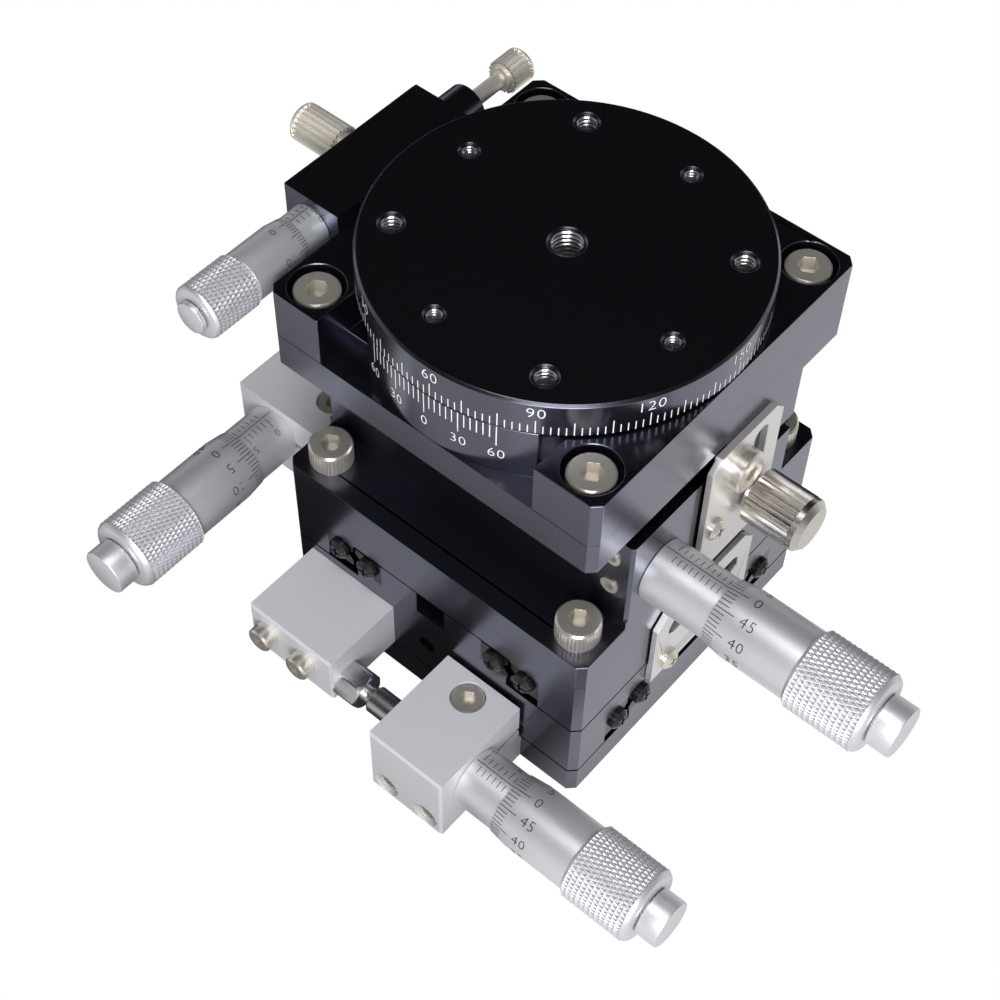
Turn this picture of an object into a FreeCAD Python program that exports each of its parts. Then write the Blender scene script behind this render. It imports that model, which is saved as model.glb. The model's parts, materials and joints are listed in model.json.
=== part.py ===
# Four-axis positioning stage: crossed-roller X and Y tables, a wedge-driven Z lift and a rotary table.
# Millimetres, +Z up. The origin is the centre of the base plate's underside.
# X runs along the lowest micrometer's spindle, Y along the second one's.
import FreeCAD, Part
import math
import os

V = FreeCAD.Vector

# Plates and the four stages, lowest first
plate_side = 60.0
corner_cut = 1.2
fixing_pitch = 50.0
base_thickness = 5.6
middle_thickness = 12.4
table_block_thickness = 12.5
plate_thickness = 5.9
seam = 0.4
lift_clearance = 4.5
top_plate_thickness = 6.0
rotary_base_thickness = 9.0
table_gap = 0.5
table_thickness = 6.0

# Travels, each way from the middle
stage_travel = 6.5
wedge_slope = 0.45
fine_travel = 3.0

# Crossed-roller rails
rail_width = 5.5
rail_height = 5.0
rail_split = 0.6
rail_ledge = 2.2
rib_half = 10.5
rail_clear = 0.3
groove_half = 1.2
roller_radius = 1.0
roller_length = 1.8
roller_pitch = 4.0
cage_thickness = 0.3
cage_height = 2.4
cage_length = 36.0

# Screws: head radius, head height, shank radius, socket across flats
m4 = dict(head=3.5, height=4.0, shank=2.0, socket=3.0)
m4_low = dict(head=3.5, height=2.6, shank=2.0, socket=2.5)
m3 = dict(head=2.75, height=3.0, shank=1.5, socket=2.5)
m25 = dict(head=2.25, height=2.5, shank=1.25, socket=2.0)
m2 = dict(head=2.25, height=2.5, shank=1.0, socket=2.0)
pan_head = 1.9
pan_height = 1.3
pan_shank = 1.0
fit = 0.05
hole_clear = 0.15

# Large micrometer heads (X, Y and Z)
sleeve_radius = 5.15
stem_radius = 4.75
thimble_radius = 5.75
knurl_radius = 6.5
cap_radius = 4.1
spindle_radius = 2.35
thimble_length = 14.5
cone_length = 1.2
knurl_length = 12.5
cap_length = 4.1
hub_length = 5.0

# Small micrometer head (rotation)
small_sleeve_radius = 3.6
small_stem_radius = 3.2
small_thimble_radius = 4.1
small_knurl_radius = 4.45
small_cap_radius = 2.6
small_spindle_radius = 1.6
small_thimble_length = 10.4
small_knurl_length = 9.0
small_cap_length = 1.2
small_hub_length = 3.4

# Micrometer brackets: their place along the micrometer, and the axis measured from the stage's face
bracket_width = 15.0
bracket_rise = 6.5
bracket_drop = 8.8
bracket_outer = 8.0
bracket_relief = 0.6
bracket_screw_up = 2.7
x_bracket_centre = 11.7
x_axis_out = 11.4
x_axis_height = 8.8
y_bracket_centre = -11.0
y_axis_out = 15.6
y_axis_height = 20.6
clamp_screw_in = 7.0
slit_width = 1.0
x_thimble_out = 7.7
y_thimble_out = 8.2

# Anvil blocks
anvil_length = 18.0
anvil_gap = 12.3
anvil_over = 3.5
anvil_drop = 0.15
anvil_above = 7.5
nut_flats = 6.0
nut_length = 4.6
nut_shank = 8.0
anvil_tip = 1.3
tip_gap = 0.1

# Lock plates and knobs
lock_plate_thickness = 1.2
lock_plate_half = 12.5
lock_slot_half = 9.0
lock_screw_span = 8.5
knob_radius = 4.6
knob_length = 11.0
knob_standoff = 0.4

# Z lift
housing_front = 20.0
housing_back = 5.4
housing_height = 20.1
housing_floor = 1.8
bed_front = 3.8
bed_height = 10.6
lift_front = 1.8
lift_back = 20.0
leg_back = 3.2
leg_above_floor = 3.3
slab_above_bed = 3.5
z_rail_split = 0.5
z_rail_thick = 2.7
z_rail_inset = 0.1
z_axis_front = 12.7
z_axis_height = 8.4
z_thimble_out = 11.6
z_bore_depth = 8.0
set_screw_rise = 7.2
channel_half = 4.9
channel_left = -27.0
wedge_long = 26.0
wedge_middle = -1.0
wedge_mid_height = 10.15
foot_long = 8.0
foot_half = 2.5
z_lock_y = 8.7
z_lock_z = 7.1
z_lock_upper_y = 3.0
z_lock_upper_down = 5.8
z_lock_lower_y = -0.8
z_lock_lower_up = 6.9

# Rotary stage
hub_radius = 20.0
ring_wall = 3.7
bore_radius = 24.0
journal_radius = 13.0
vernier_width = 5.6
vernier_centre_deg = -87.5
vernier_half_deg = 30.0
window_left = -20.3
window_right = 19.0
r_axis_out = 5.4
arm_half = 3.2
arm_tip_radius = 2.6
r_axis_down = 2.0
r_block_outer = 5.6
r_knob_radius = 3.2
r_knob_length = 9.5
r_knob_standoff = 1.6
plunger_radius = 2.9
plunger_head = 5.5
plunger_out = 7.5
plunger_pin = 6.4
r_block_front = 15.3
r_block_back = 13.5
r_block_proud = 3.0
room_half = 6.5
r_thimble_out = 4.3
barrel_radius = 3.6
barrel_length = 6.0
table_holes_turn = 32.5
large_holes_radius = 25.0
small_holes_radius = 23.0
m4_drill = 1.65
m3_drill = 1.25
m6_drill = 2.5

# Heights that follow from the sizes above
half = plate_side / 2
rail_length = plate_side
table_diameter = plate_side
vernier_inner = table_diameter / 2 - vernier_width
arm_reach = half + r_axis_out
r_block_depth = r_axis_out + r_block_outer
lift_gap = housing_height + lift_clearance
pitch = fixing_pitch / 2
middle_z = base_thickness + seam
middle_top = base_thickness + middle_thickness
block_z = middle_top + seam
block_top = middle_top + table_block_thickness
zbase_top = block_top + plate_thickness
ztop_z = zbase_top + lift_gap
ztop_top = ztop_z + top_plate_thickness
rbase_top = ztop_top + rotary_base_thickness
table_z = rbase_top + table_gap
table_top = table_z + table_thickness
inner_rail = rib_half
outer_rail = rib_half + rail_width + rail_split
outer_wall = outer_rail + rail_width
rail_lift = rail_ledge
rib_height = rail_lift + rail_height + 0.2
roof_height = rib_height + rail_clear
z_axis_z = zbase_top + z_axis_height
r_axis_z = rbase_top - r_axis_down


def box(x0, x1, y0, y1, z0, z1):
    return Part.makeBox(x1 - x0, y1 - y0, z1 - z0, V(x0, y0, z0))


def rod(radius, start, end):
    path = V(*end) - V(*start)
    return Part.makeCylinder(radius, path.Length, V(*start), path)


def plate(side_x, side_y, z0, z1, cut):
    # A square plate with its four upright edges chamfered
    x, y = side_x / 2, side_y / 2
    points = [(-x + cut, -y), (x - cut, -y), (x, -y + cut), (x, y - cut),
              (x - cut, y), (-x + cut, y), (-x, y - cut), (-x, -y + cut)]
    face = Part.Face(Part.makePolygon([V(a, b, z0) for a, b in points + points[:1]]))
    return face.extrude(V(0, 0, z1 - z0))


def corners(distance):
    return [(sx * distance, sy * distance) for sx in (-1, 1) for sy in (-1, 1)]


def turned(profile, axis=V(1, 0, 0)):
    # Solid of revolution about X from (station, radius) points
    wire = Part.makePolygon([V(a, r, 0) for a, r in profile + profile[:1]])
    return Part.Face(wire).revolve(V(0, 0, 0), axis, 360)


def placed(shape, point, turn=0.0):
    # Turn about Z, then move
    out = shape.copy()
    out.Placement = FreeCAD.Placement(V(*point), FreeCAD.Rotation(V(0, 0, 1), turn)).multiply(out.Placement)
    return out


def hexagon(across_flats, length):
    # Hexagonal prism along +X from the origin
    r = across_flats / math.sqrt(3)
    points = [V(0, r * math.cos(math.radians(60 * k)), r * math.sin(math.radians(60 * k))) for k in range(7)]
    return Part.Face(Part.makePolygon(points)).extrude(V(length, 0, 0))


def cap_screw(kind, length):
    # Socket head screw along +X: the head stands at x > 0, the shank at x < 0
    edge = 0.3
    body = turned([(-length, 0), (-length, kind["shank"]), (0, kind["shank"]), (0, kind["head"]),
                   (kind["height"] - edge, kind["head"]), (kind["height"], kind["head"] - edge),
                   (kind["height"], 0)])
    socket = hexagon(kind["socket"], kind["height"])
    socket.translate(V(kind["height"] * 0.45, 0, 0))
    return body.cut(socket)


def pan_screw(length):
    # Cross-recess pan head screw along +X
    body = turned([(-length, 0), (-length, pan_shank), (0, pan_shank), (0, pan_head),
                   (pan_height * 0.5, pan_head), (pan_height, pan_head * 0.6), (pan_height, 0)])
    arm = pan_head * 0.55
    slots = [box(pan_height * 0.5, pan_height + 1, -arm, arm, -0.25, 0.25),
             box(pan_height * 0.5, pan_height + 1, -0.25, 0.25, -arm, arm)]
    return body.cut(slots)


def aimed(shape, point, direction):
    # Put a piece built along +X at a point, looking along a direction
    out = shape.copy()
    out.Placement = FreeCAD.Placement(V(*point), FreeCAD.Rotation(V(1, 0, 0), V(*direction)))
    return out


def knob(shank_length, head_length, radius, shank_radius):
    # Knurled lock screw along +X with its head's inner face at the origin
    edge = 0.8
    collar = radius * 0.7
    return turned([(-shank_length, 0), (-shank_length, shank_radius), (0, shank_radius), (0, collar),
                   (0.8, collar), (0.8, radius), (head_length - edge, radius),
                   (head_length, radius - edge), (head_length, 0)])


# Crossed-roller guide

def rail(length, width, groove_side):
    # Rail along X, from y = 0 to y = width, with its V groove on the +Y or -Y face, centred on z = 0
    h = rail_height / 2
    g = groove_half
    points = [(0, -h), (width, -h), (width, -g), (width - g, 0), (width, g), (width, h), (0, h)]
    if groove_side < 0:
        points = [(width - y, z) for y, z in points]
    face = Part.Face(Part.makePolygon([V(-length / 2, y, z) for y, z in points + points[:1]]))
    bar = face.extrude(V(length, 0, 0))
    for end in (-1, 1):
        y = width / 2
        bar = bar.cut(rod(pan_shank + hole_clear, (end * length / 2, y, 0), (end * (length / 2 - 4.5), y, 0)))
    return bar


def roller_cage(length):
    # Flat cage in the XZ plane with rollers crossed at right angles, centred on the origin
    strip = box(-length / 2, length / 2, -cage_thickness / 2, cage_thickness / 2, -cage_height / 2, cage_height / 2)
    count = int(length / roller_pitch)
    rollers = []
    windows = []
    for k in range(count):
        x = (k - (count - 1) / 2) * roller_pitch
        lean = 1 if k % 2 else -1
        axis = V(0, lean, 1)
        axis.normalize()
        start = V(x, 0, 0) - axis * (roller_length / 2)
        rollers.append(Part.makeCylinder(roller_radius, roller_length, start, axis))
        wide = V(x, 0, 0) - axis * (roller_length / 2 + 0.2)
        windows.append(Part.makeCylinder(roller_radius + 0.1, roller_length + 0.4, wide, axis))
    return [strip.cut(windows)] + rollers


def cross_guide(seat, turn):
    # Both inner rails, both outer rails and both cages of one table, on a seat of the given height
    z = seat + rail_lift + rail_height / 2
    inner, outer, cages = [], [], []
    for side in (-1, 1):
        for group, start, groove in ((inner, inner_rail, 1), (outer, outer_rail, -1)):
            bar = rail(rail_length, rail_width, groove)
            bar.translate(V(0, start, z))
            if side < 0:
                bar = bar.mirror(V(0, 0, 0), V(0, 1, 0))
            group.append(placed(bar, (0, 0, 0), turn))
        middle = outer_rail - rail_split / 2
        for piece in roller_cage(cage_length):
            piece.translate(V(0, side * middle, z))
            cages.append(placed(piece, (0, 0, 0), turn))
    return inner, outer, cages


def rail_stops(seat, turn, distance):
    # A pan head screw in each end of a pair of rails
    z = seat + rail_lift + rail_height / 2
    screws = []
    for end in (-1, 1):
        for side in (-1, 1):
            piece = aimed(pan_screw(4.0), (end * half, side * (distance + rail_width / 2), z), (end, 0, 0))
            screws.append(placed(piece, (0, 0, 0), turn))
    return screws


def seat_rib(seat, turn):
    # Rib between the inner rails, the ledges under them and the spring channel along its top
    channel = 2.9
    rib = box(-half, half, -rib_half, rib_half, seat, seat + rib_height)
    ledge = box(-rail_length / 2, rail_length / 2, -inner_rail - rail_width + rail_clear,
                inner_rail + rail_width - rail_clear, seat, seat + rail_lift)
    slot = box(-half, half, -channel, channel, seat + rib_height - 5.0, seat + rib_height)
    return placed(rib.fuse(ledge).cut(slot), (0, 0, 0), turn)


def guide_channel(seat, turn):
    # What the table above loses to the rib and rails
    middle = box(-half, half, -inner_rail - rail_width - rail_clear, inner_rail + rail_width + rail_clear,
                 seat, seat + roof_height)
    sides = box(-half, half, -outer_wall, outer_wall, seat, seat + rail_lift + rail_height)
    return placed(middle.fuse(sides), (0, 0, 0), turn)


# Micrometer heads, built along +X with the bracket's outer face at the origin

def micrometer(out, tip, bore_depth, sizes):
    stem_r, sleeve_r, thimble_r, knurl_r, cap_r, spindle_r, thimble_l, knurl_l, cap_l, hub_l = sizes
    knurl_start = out + thimble_l
    knurl_end = knurl_start + knurl_l
    back = knurl_end - hub_l
    travel = stage_travel if sizes is large_head else fine_travel
    sleeve_end = back - travel - 0.6
    bore = sleeve_r + 0.08
    sleeve = turned([(-bore_depth, spindle_r + fit), (-bore_depth, stem_r), (0, stem_r), (0, sleeve_r), (sleeve_end, sleeve_r),
                     (sleeve_end, spindle_r + fit)])
    spindle = turned([(tip, 0), (tip, spindle_r - 0.3), (tip + 0.3, spindle_r), (back + hub_l * 0.6, spindle_r),
                      (back + hub_l * 0.6, 0)])
    edge = 0.4
    well = spindle_r + fit
    thimble = turned([(out, bore), (out, bore + 0.08), (out + cone_length, thimble_r), (knurl_start, thimble_r),
                      (knurl_start, knurl_r - edge), (knurl_start + edge, knurl_r),
                      (knurl_end - edge, knurl_r), (knurl_end, knurl_r - edge),
                      (knurl_end, cap_r - 0.3), (knurl_end + 0.3, cap_r - 0.3), (knurl_end + 0.3, cap_r),
                      (knurl_end + cap_l - edge, cap_r), (knurl_end + cap_l, cap_r - edge),
                      (knurl_end + cap_l, 0), (back + hub_l * 0.6 + fit, 0), (back + hub_l * 0.6 + fit, well),
                      (back, well), (back, bore)])
    return sleeve, spindle, thimble


large_head = (stem_radius, sleeve_radius, thimble_radius, knurl_radius, cap_radius, spindle_radius,
              thimble_length, knurl_length, cap_length, hub_length)
small_head = (small_stem_radius, small_sleeve_radius, small_thimble_radius, small_knurl_radius, small_cap_radius,
              small_spindle_radius, small_thimble_length, small_knurl_length, small_cap_length,
              small_hub_length)


def mic_bracket(axis_out, seat, undercut):
    # Split clamp bracket: micrometer along +X, stage face at y = 0, axis at y = -axis_out, z = 0
    # Its back stands clear of the sliding stage above the seat, and of the rails' ends below the undercut
    w = bracket_width / 2
    far = axis_out + bracket_outer
    body = box(-w, w, -far, 0, -bracket_drop, bracket_rise)
    body = body.cut(box(-w, w, -bracket_relief, 0, seat, bracket_rise))
    if undercut > -bracket_drop:
        body = body.cut(box(-w, w, -stage_travel - pan_height - 0.5, 0, -bracket_drop, undercut))
    body = body.makeChamfer(0.4, [e for e in body.Edges if e.BoundBox.YMax < -far + 0.01])
    bore = rod(stem_radius + fit, (-w, -axis_out, 0), (w, -axis_out, 0))
    slit = box(-w, w, -axis_out, 0, -slit_width / 2, slit_width / 2)
    screw_y = -axis_out + clamp_screw_in
    sink = rod(m3["head"] + hole_clear, (0, screw_y, bracket_rise - m3["height"] - 0.4), (0, screw_y, bracket_rise))
    hole = rod(m3["shank"] + hole_clear, (0, screw_y, -bracket_drop + 2.0), (0, screw_y, bracket_rise))
    cuts = [bore, slit, sink, hole]
    for side in (-1, 1):
        x = side * w * 0.55
        z = -bracket_drop + bracket_screw_up
        cuts.append(rod(m2["head"] + hole_clear, (x, -far, z), (x, -far + 3.1, z)))
        cuts.append(rod(m2["shank"] + 0.1, (x, -far, z), (x, 0, z)))
    return body.cut(cuts)


def bracket_screws(axis_out):
    # The clamp screw and the two screws that hold the bracket to the stage
    far = axis_out + bracket_outer
    clamp = aimed(cap_screw(m3, 9.5), (0, -axis_out + clamp_screw_in, bracket_rise - m3["height"] - 0.4), (0, 0, 1))
    screws = [clamp]
    for side in (-1, 1):
        place = (side * bracket_width / 2 * 0.55, -far + 3.1, -bracket_drop + bracket_screw_up)
        screws.append(aimed(cap_screw(m2, far - 3.1 + 4.0), place, (0, -1, 0)))
    return screws


def anvil(axis_out, bottom):
    # Anvil block: stage face at y = 0, end facing the micrometer at x = 0, axis at z = 0
    far = axis_out + anvil_over
    body = box(-anvil_length, 0, -far, 0, bottom, anvil_above)
    body = body.makeChamfer(0.4, [e for e in body.Edges if e.BoundBox.YMax < -far + 0.01])
    thread = rod(m3["shank"] + fit, (-nut_shank - 1.0, -axis_out, 0), (0, -axis_out, 0))
    cuts = [thread]
    for x in (-anvil_length * 0.78, -anvil_length * 0.32):
        z = anvil_above - 4.2
        cuts.append(rod(m25["shank"] + 0.1, (x, -far, z), (x, 0, z)))
    return body.cut(cuts)


def anvil_screws(axis_out):
    far = axis_out + anvil_over
    return [aimed(cap_screw(m25, far + 2.6), (x, -far, anvil_above - 4.2), (0, -1, 0))
            for x in (-anvil_length * 0.78, -anvil_length * 0.32)]


def anvil_nut(axis_out):
    # Hexagon adjusting screw with a smaller polished tip
    head = hexagon(nut_flats, nut_length)
    rounded = turned([(0, 0), (0, nut_flats * 0.56), (nut_length - 0.5, nut_flats * 0.56),
                      (nut_length, nut_flats * 0.48), (nut_length, 0)])
    tip = rod(nut_flats * 0.27, (nut_length, 0, 0), (nut_length + anvil_tip, 0, 0))
    shank = rod(m3["shank"], (-nut_shank, 0, 0), (0, 0, 0))
    piece = head.common(rounded).fuse([tip, shank]).removeSplitter()
    piece.translate(V(0, -axis_out, 0))
    return piece


def lock_plate(low, high, screw_z, slot_z, split_z):
    # Side plate in the XZ plane, outer side towards -Y, back at y = 0, relieved above split_z
    t = lock_plate_thickness
    h = lock_plate_half
    c = 2.5
    points = [(-h, low), (h, low), (h, high - c), (h - c, high), (-h + c, high), (-h, high - c)]
    face = Part.Face(Part.makePolygon([V(x, 0, z) for x, z in points + points[:1]]))
    body = face.extrude(V(0, -t, 0))
    r = m3["shank"] + 0.2
    s = lock_slot_half - r
    cuts = [box(-s, s, -t - 1, 1, slot_z - r, slot_z + r), box(-h, h, -0.2, 0, split_z, high)]
    for side in (-1, 1):
        cuts.append(rod(r, (side * s, -t - 1, slot_z), (side * s, 1, slot_z)))
        cuts.append(rod(pan_shank + hole_clear, (side * lock_screw_span, -t - 1, screw_z),
                        (side * lock_screw_span, 1, screw_z)))
    return body.cut(cuts)


# Where each micrometer stands
x_place = (x_bracket_centre, -half, x_axis_height)
y_place = (-half, y_bracket_centre, y_axis_height)
z_place = (half, -z_axis_front, z_axis_z)
r_place = (-arm_reach, -r_block_front, r_axis_z)
x_anvil_place = (x_bracket_centre - bracket_width / 2 - anvil_gap, -half, x_axis_height)
y_anvil_place = (-half, y_bracket_centre + bracket_width / 2 + anvil_gap, y_axis_height)
x_lock_slot = middle_z + 6.1
y_lock_slot = block_z + 6.1
x_lock_screw = base_thickness - 1.6
y_lock_screw = middle_top - 1.6


def tapped(radius, depth, point, direction):
    end = [point[k] + depth * direction[k] for k in range(3)]
    return rod(radius, point, end)


def bracket_taps(place, axis_out, turn):
    # Holes in the stage that take a bracket's two screws
    z = -bracket_drop + bracket_screw_up
    holes = [rod(m2["shank"] + fit, (side * bracket_width / 2 * 0.55, -0.1, z),
                 (side * bracket_width / 2 * 0.55, 4.6, z)) for side in (-1, 1)]
    return [placed(h, place, turn) for h in holes]


def anvil_taps(place, turn):
    holes = [rod(m25["shank"] + fit, (x, -0.1, anvil_above - 4.2), (x, 2.8, anvil_above - 4.2))
             for x in (-anvil_length * 0.78, -anvil_length * 0.32)]
    return [placed(h, place, turn) for h in holes]


def lock_taps(turn, screw_z, slot_z, which):
    holes = []
    if which == "screws":
        holes += [rod(pan_shank + fit, (side * lock_screw_span, -half, screw_z),
                      (side * lock_screw_span, -half + 4.6, screw_z)) for side in (-1, 1)]
    else:
        holes.append(rod(m3["shank"] + fit, (0, -half, slot_z), (0, -half + 5.6, slot_z)))
    return [placed(h, (0, 0, 0), turn) for h in holes]


def base_plate():
    body = plate(plate_side, plate_side, 0, base_thickness, corner_cut).fuse(seat_rib(base_thickness, 0))
    cuts = [tapped(m4_drill, 6.0, (x, y, 0), (0, 0, 1)) for x, y in corners(pitch)]
    cuts += bracket_taps(x_place, x_axis_out, 0)
    cuts += lock_taps(180, x_lock_screw, x_lock_slot, "screws")
    return body.cut(cuts).removeSplitter()


def middle_block():
    body = plate(plate_side, plate_side, middle_z, middle_top, corner_cut)
    body = body.cut(guide_channel(base_thickness, 0)).fuse(seat_rib(middle_top, 90))
    cuts = anvil_taps(x_anvil_place, 0)
    cuts += bracket_taps(y_place, y_axis_out, -90)
    cuts += lock_taps(180, x_lock_screw, x_lock_slot, "knob")
    cuts += lock_taps(90, y_lock_screw, y_lock_slot, "screws")
    cuts.append(rod(1.6, (-0.9, -half, middle_top - 5.6), (-0.9, -half + 6.0, middle_top - 5.6)))
    return body.cut(cuts).removeSplitter()


def table_block():
    body = plate(plate_side, plate_side, block_z, block_top, corner_cut).cut(guide_channel(middle_top, 90))
    cuts = anvil_taps(y_anvil_place, -90)
    cuts += lock_taps(90, y_lock_screw, y_lock_slot, "knob")
    cuts += [tapped(m4["shank"] + fit, 8.5, (x, y, block_top), (0, 0, -1)) for x, y in corners(pitch)]
    return body.cut(cuts).removeSplitter()


def z_base_plate():
    body = plate(plate_side, plate_side, block_top, zbase_top, corner_cut)
    holes = [rod(m4["shank"] + hole_clear, (x, y, block_top), (x, y, zbase_top)) for x, y in corners(pitch)]
    return body.cut(holes)


def z_housing():
    # Fixed side of the lift: floor, column with the wedge's channel, and the bed its lock screw grips
    low, top = zbase_top, zbase_top + housing_height
    floor = box(-half, half, -housing_front, lift_back, low, low + housing_floor)
    column = box(-half, half, -housing_front, -housing_back, low, top)
    column = column.makeChamfer(0.5, [e for e in column.Edges if e.BoundBox.YMax < -housing_front + 0.01
                                      and e.BoundBox.ZLength > 1.0])
    bed = box(-half, half, bed_front, lift_back, low, low + bed_height)
    inner = half - z_rail_inset - rail_width - 0.3
    shoulder = box(-inner, inner, -housing_back, -lift_front - z_rail_split, low, top)
    mouth = half - z_bore_depth
    channel = box(channel_left, mouth, -z_axis_front - channel_half, -z_axis_front + channel_half,
                  low + housing_floor, top)
    cuts = [channel, rod(stem_radius + fit, (mouth, -z_axis_front, z_axis_z), (half, -z_axis_front, z_axis_z))]
    for z in set_screw_heights():
        cuts.append(rod(1.5 + fit, (half - 3.6, -housing_front, z), (half - 3.6, -z_axis_front, z)))
    z = low + z_lock_z
    cuts.append(rod(m3["shank"] + fit, (half, z_lock_y, z), (half - 6.0, z_lock_y, z)))
    return floor.fuse([column, bed, shoulder]).cut(cuts).removeSplitter()


def set_screw_heights():
    return (z_axis_z + 0.2, z_axis_z + set_screw_rise)


def z_set_screws():
    # The lower one bears on the sleeve, the upper one stops short above it
    screws = []
    x = half - 3.6
    for z in set_screw_heights():
        rise = abs(z - z_axis_z)
        reach = math.sqrt(stem_radius ** 2 - rise ** 2) + 0.3 if rise < stem_radius else 2.4
        piece = rod(1.5, (x, -housing_front - 0.3, z), (x, -z_axis_front - reach, z))
        screws.append(piece.cut(aimed(hexagon(1.5, 1.4), (x, -housing_front - 0.3, z), (0, 1, 0))))
    return screws


def z_rail_pair():
    # Upright guide rails at both ends of the housing: the fixed ones, the lifting ones and the cages
    fixed, moving, cages = [], [], []
    fixed_thick = housing_back - lift_front - z_rail_split
    length = housing_height - 2.4
    still_top = zbase_top + housing_floor + 0.2 + length
    lifting_low = ztop_z - length + 2.6
    cage_z = (still_top + lifting_low) / 2
    for end in (-1, 1):
        x = end * (half - z_rail_inset - rail_width / 2)
        still = rail_upright(length, fixed_thick, 1)
        still.translate(V(x, -housing_back, zbase_top + housing_floor + 0.2))
        fixed.append(still)
        lifting = rail_upright(length - 3.4, z_rail_thick, -1)
        lifting.translate(V(x, -lift_front, ztop_z - length + 2.6))
        moving.append(lifting)
        for piece in roller_cage(2 * roller_pitch):
            piece.rotate(V(0, 0, 0), V(0, 1, 0), 90)
            piece.translate(V(x, -lift_front - z_rail_split / 2, cage_z))
            cages.append(piece)
    return fixed, moving, cages


def rail_upright(height, width, groove_side):
    h = rail_width / 2
    g = groove_half
    points = [(-h, 0), (-h, width), (-g, width), (0, width - g), (g, width), (h, width), (h, 0)]
    if groove_side < 0:
        points = [(x, width - y) for x, y in points]
    face = Part.Face(Part.makePolygon([V(x, y, 0) for x, y in points + points[:1]]))
    return face.extrude(V(0, 0, height))


def wedge_height(x):
    # Height of the wedge's slope above the Z base plate, at the middle of the travel
    return wedge_mid_height + wedge_slope * (x - wedge_middle)


def z_wedge():
    x0 = wedge_middle - wedge_long / 2
    x1 = wedge_middle + wedge_long / 2
    low = zbase_top + housing_floor + fit
    points = [(x0, low), (x1, low), (x1, zbase_top + wedge_height(x1)), (x0, zbase_top + wedge_height(x0))]
    y = -z_axis_front - channel_half + 0.1
    face = Part.Face(Part.makePolygon([V(a, y, z) for a, z in points + points[:1]]))
    return face.extrude(V(0, 2 * (channel_half - 0.1), 0))


def z_top_plate():
    # Upper plate of the lift with the sloping foot that rides on the wedge
    body = plate(plate_side, plate_side, ztop_z, ztop_top, corner_cut)
    x0, x1 = -foot_long / 2, foot_long / 2
    ride = 0.15
    points = [(x0, ztop_z), (x1, ztop_z), (x1, zbase_top + wedge_height(x1) + ride),
              (x0, zbase_top + wedge_height(x0) + ride)]
    face = Part.Face(Part.makePolygon([V(a, -z_axis_front - foot_half, z) for a, z in points + points[:1]]))
    foot = face.extrude(V(0, 2 * foot_half, 0))
    cuts = [tapped(m4["shank"] + fit, 5.0, (x, y, ztop_top), (0, 0, -1)) for x, y in corners(pitch)]
    return body.fuse(foot).cut(cuts).removeSplitter()


def z_lift_block():
    # Lifting side: a slab over the bed and a leg behind the column, pocketed for its rails
    leg_low = zbase_top + housing_floor + leg_above_floor
    leg = box(-half, half, -lift_front, leg_back, leg_low, ztop_z)
    slab = box(-half, half, -lift_front, lift_back, zbase_top + bed_height + slab_above_bed, ztop_z)
    body = leg.fuse(slab)
    length = housing_height - 2.4
    rail_low = ztop_z - length + 2.6
    cuts = []
    for end in (-1, 1):
        xa = end * (half - z_rail_inset - rail_width)
        xb = end * (half + 1.0)
        cuts.append(box(min(xa, xb), max(xa, xb), -lift_front, -lift_front + z_rail_thick, rail_low, ztop_z))
    for (y, z), screw in zip(z_lock_screw_places(), (m4["shank"], pan_shank)):
        cuts.append(rod(screw + fit, (half, y, z), (half - 6.0, y, z)))
    return body.cut(cuts).removeSplitter()


def z_lock_screw_places():
    return ((z_lock_upper_y, ztop_z - z_lock_upper_down), (z_lock_lower_y, zbase_top + z_lock_lower_up))


def z_lock_plate():
    t = lock_plate_thickness
    y0, y1 = -3.5, 14.0
    low, high = block_top + 3.0, ztop_z - 0.5
    c = 2.0
    points = [(y0, low + c), (y0 + c, low), (y1 - c, low), (y1, low + c), (y1, high - c), (y1 - c, high),
              (y0 + c, high), (y0, high - c)]
    face = Part.Face(Part.makePolygon([V(half, y, z) for y, z in points + points[:1]]))
    body = face.extrude(V(t, 0, 0))
    r = m3["shank"] + 0.2
    z0 = low + 5.0 + r
    z1 = high - 2.0 - r
    slab_low = zbase_top + bed_height + slab_above_bed
    leg_low = zbase_top + housing_floor + leg_above_floor
    relief = 0.2
    cuts = [box(half - 1, half + t + 1, z_lock_y - r, z_lock_y + r, z0, z1),
            rod(r, (half - 1, z_lock_y, z0), (half + t + 1, z_lock_y, z0)),
            rod(r, (half - 1, z_lock_y, z1), (half + t + 1, z_lock_y, z1)),
            box(half, half + relief, y0, y1, low, leg_low),
            box(half, half + relief, leg_back, y1, low, slab_low),
            box(half, half + relief, y0, -lift_front, low, high)]
    for (y, z), screw in zip(z_lock_screw_places(), (m4["shank"], pan_shank)):
        cuts.append(rod(screw + 0.15, (half - 1, y, z), (half + t + 1, y, z)))
    return body.cut(cuts)


def z_lock_screws():
    (ya, za), (yb, zb) = z_lock_screw_places()
    x = half + lock_plate_thickness
    return [aimed(cap_screw(m4_low, 6.0), (x, ya, za), (1, 0, 0)), aimed(pan_screw(5.5), (x, yb, zb), (1, 0, 0))]


# Rotary stage

def annulus(inner, outer, z0, z1):
    return rod(outer, (0, 0, z0), (0, 0, z1)).cut(rod(inner, (0, 0, z0), (0, 0, z1)))


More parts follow.
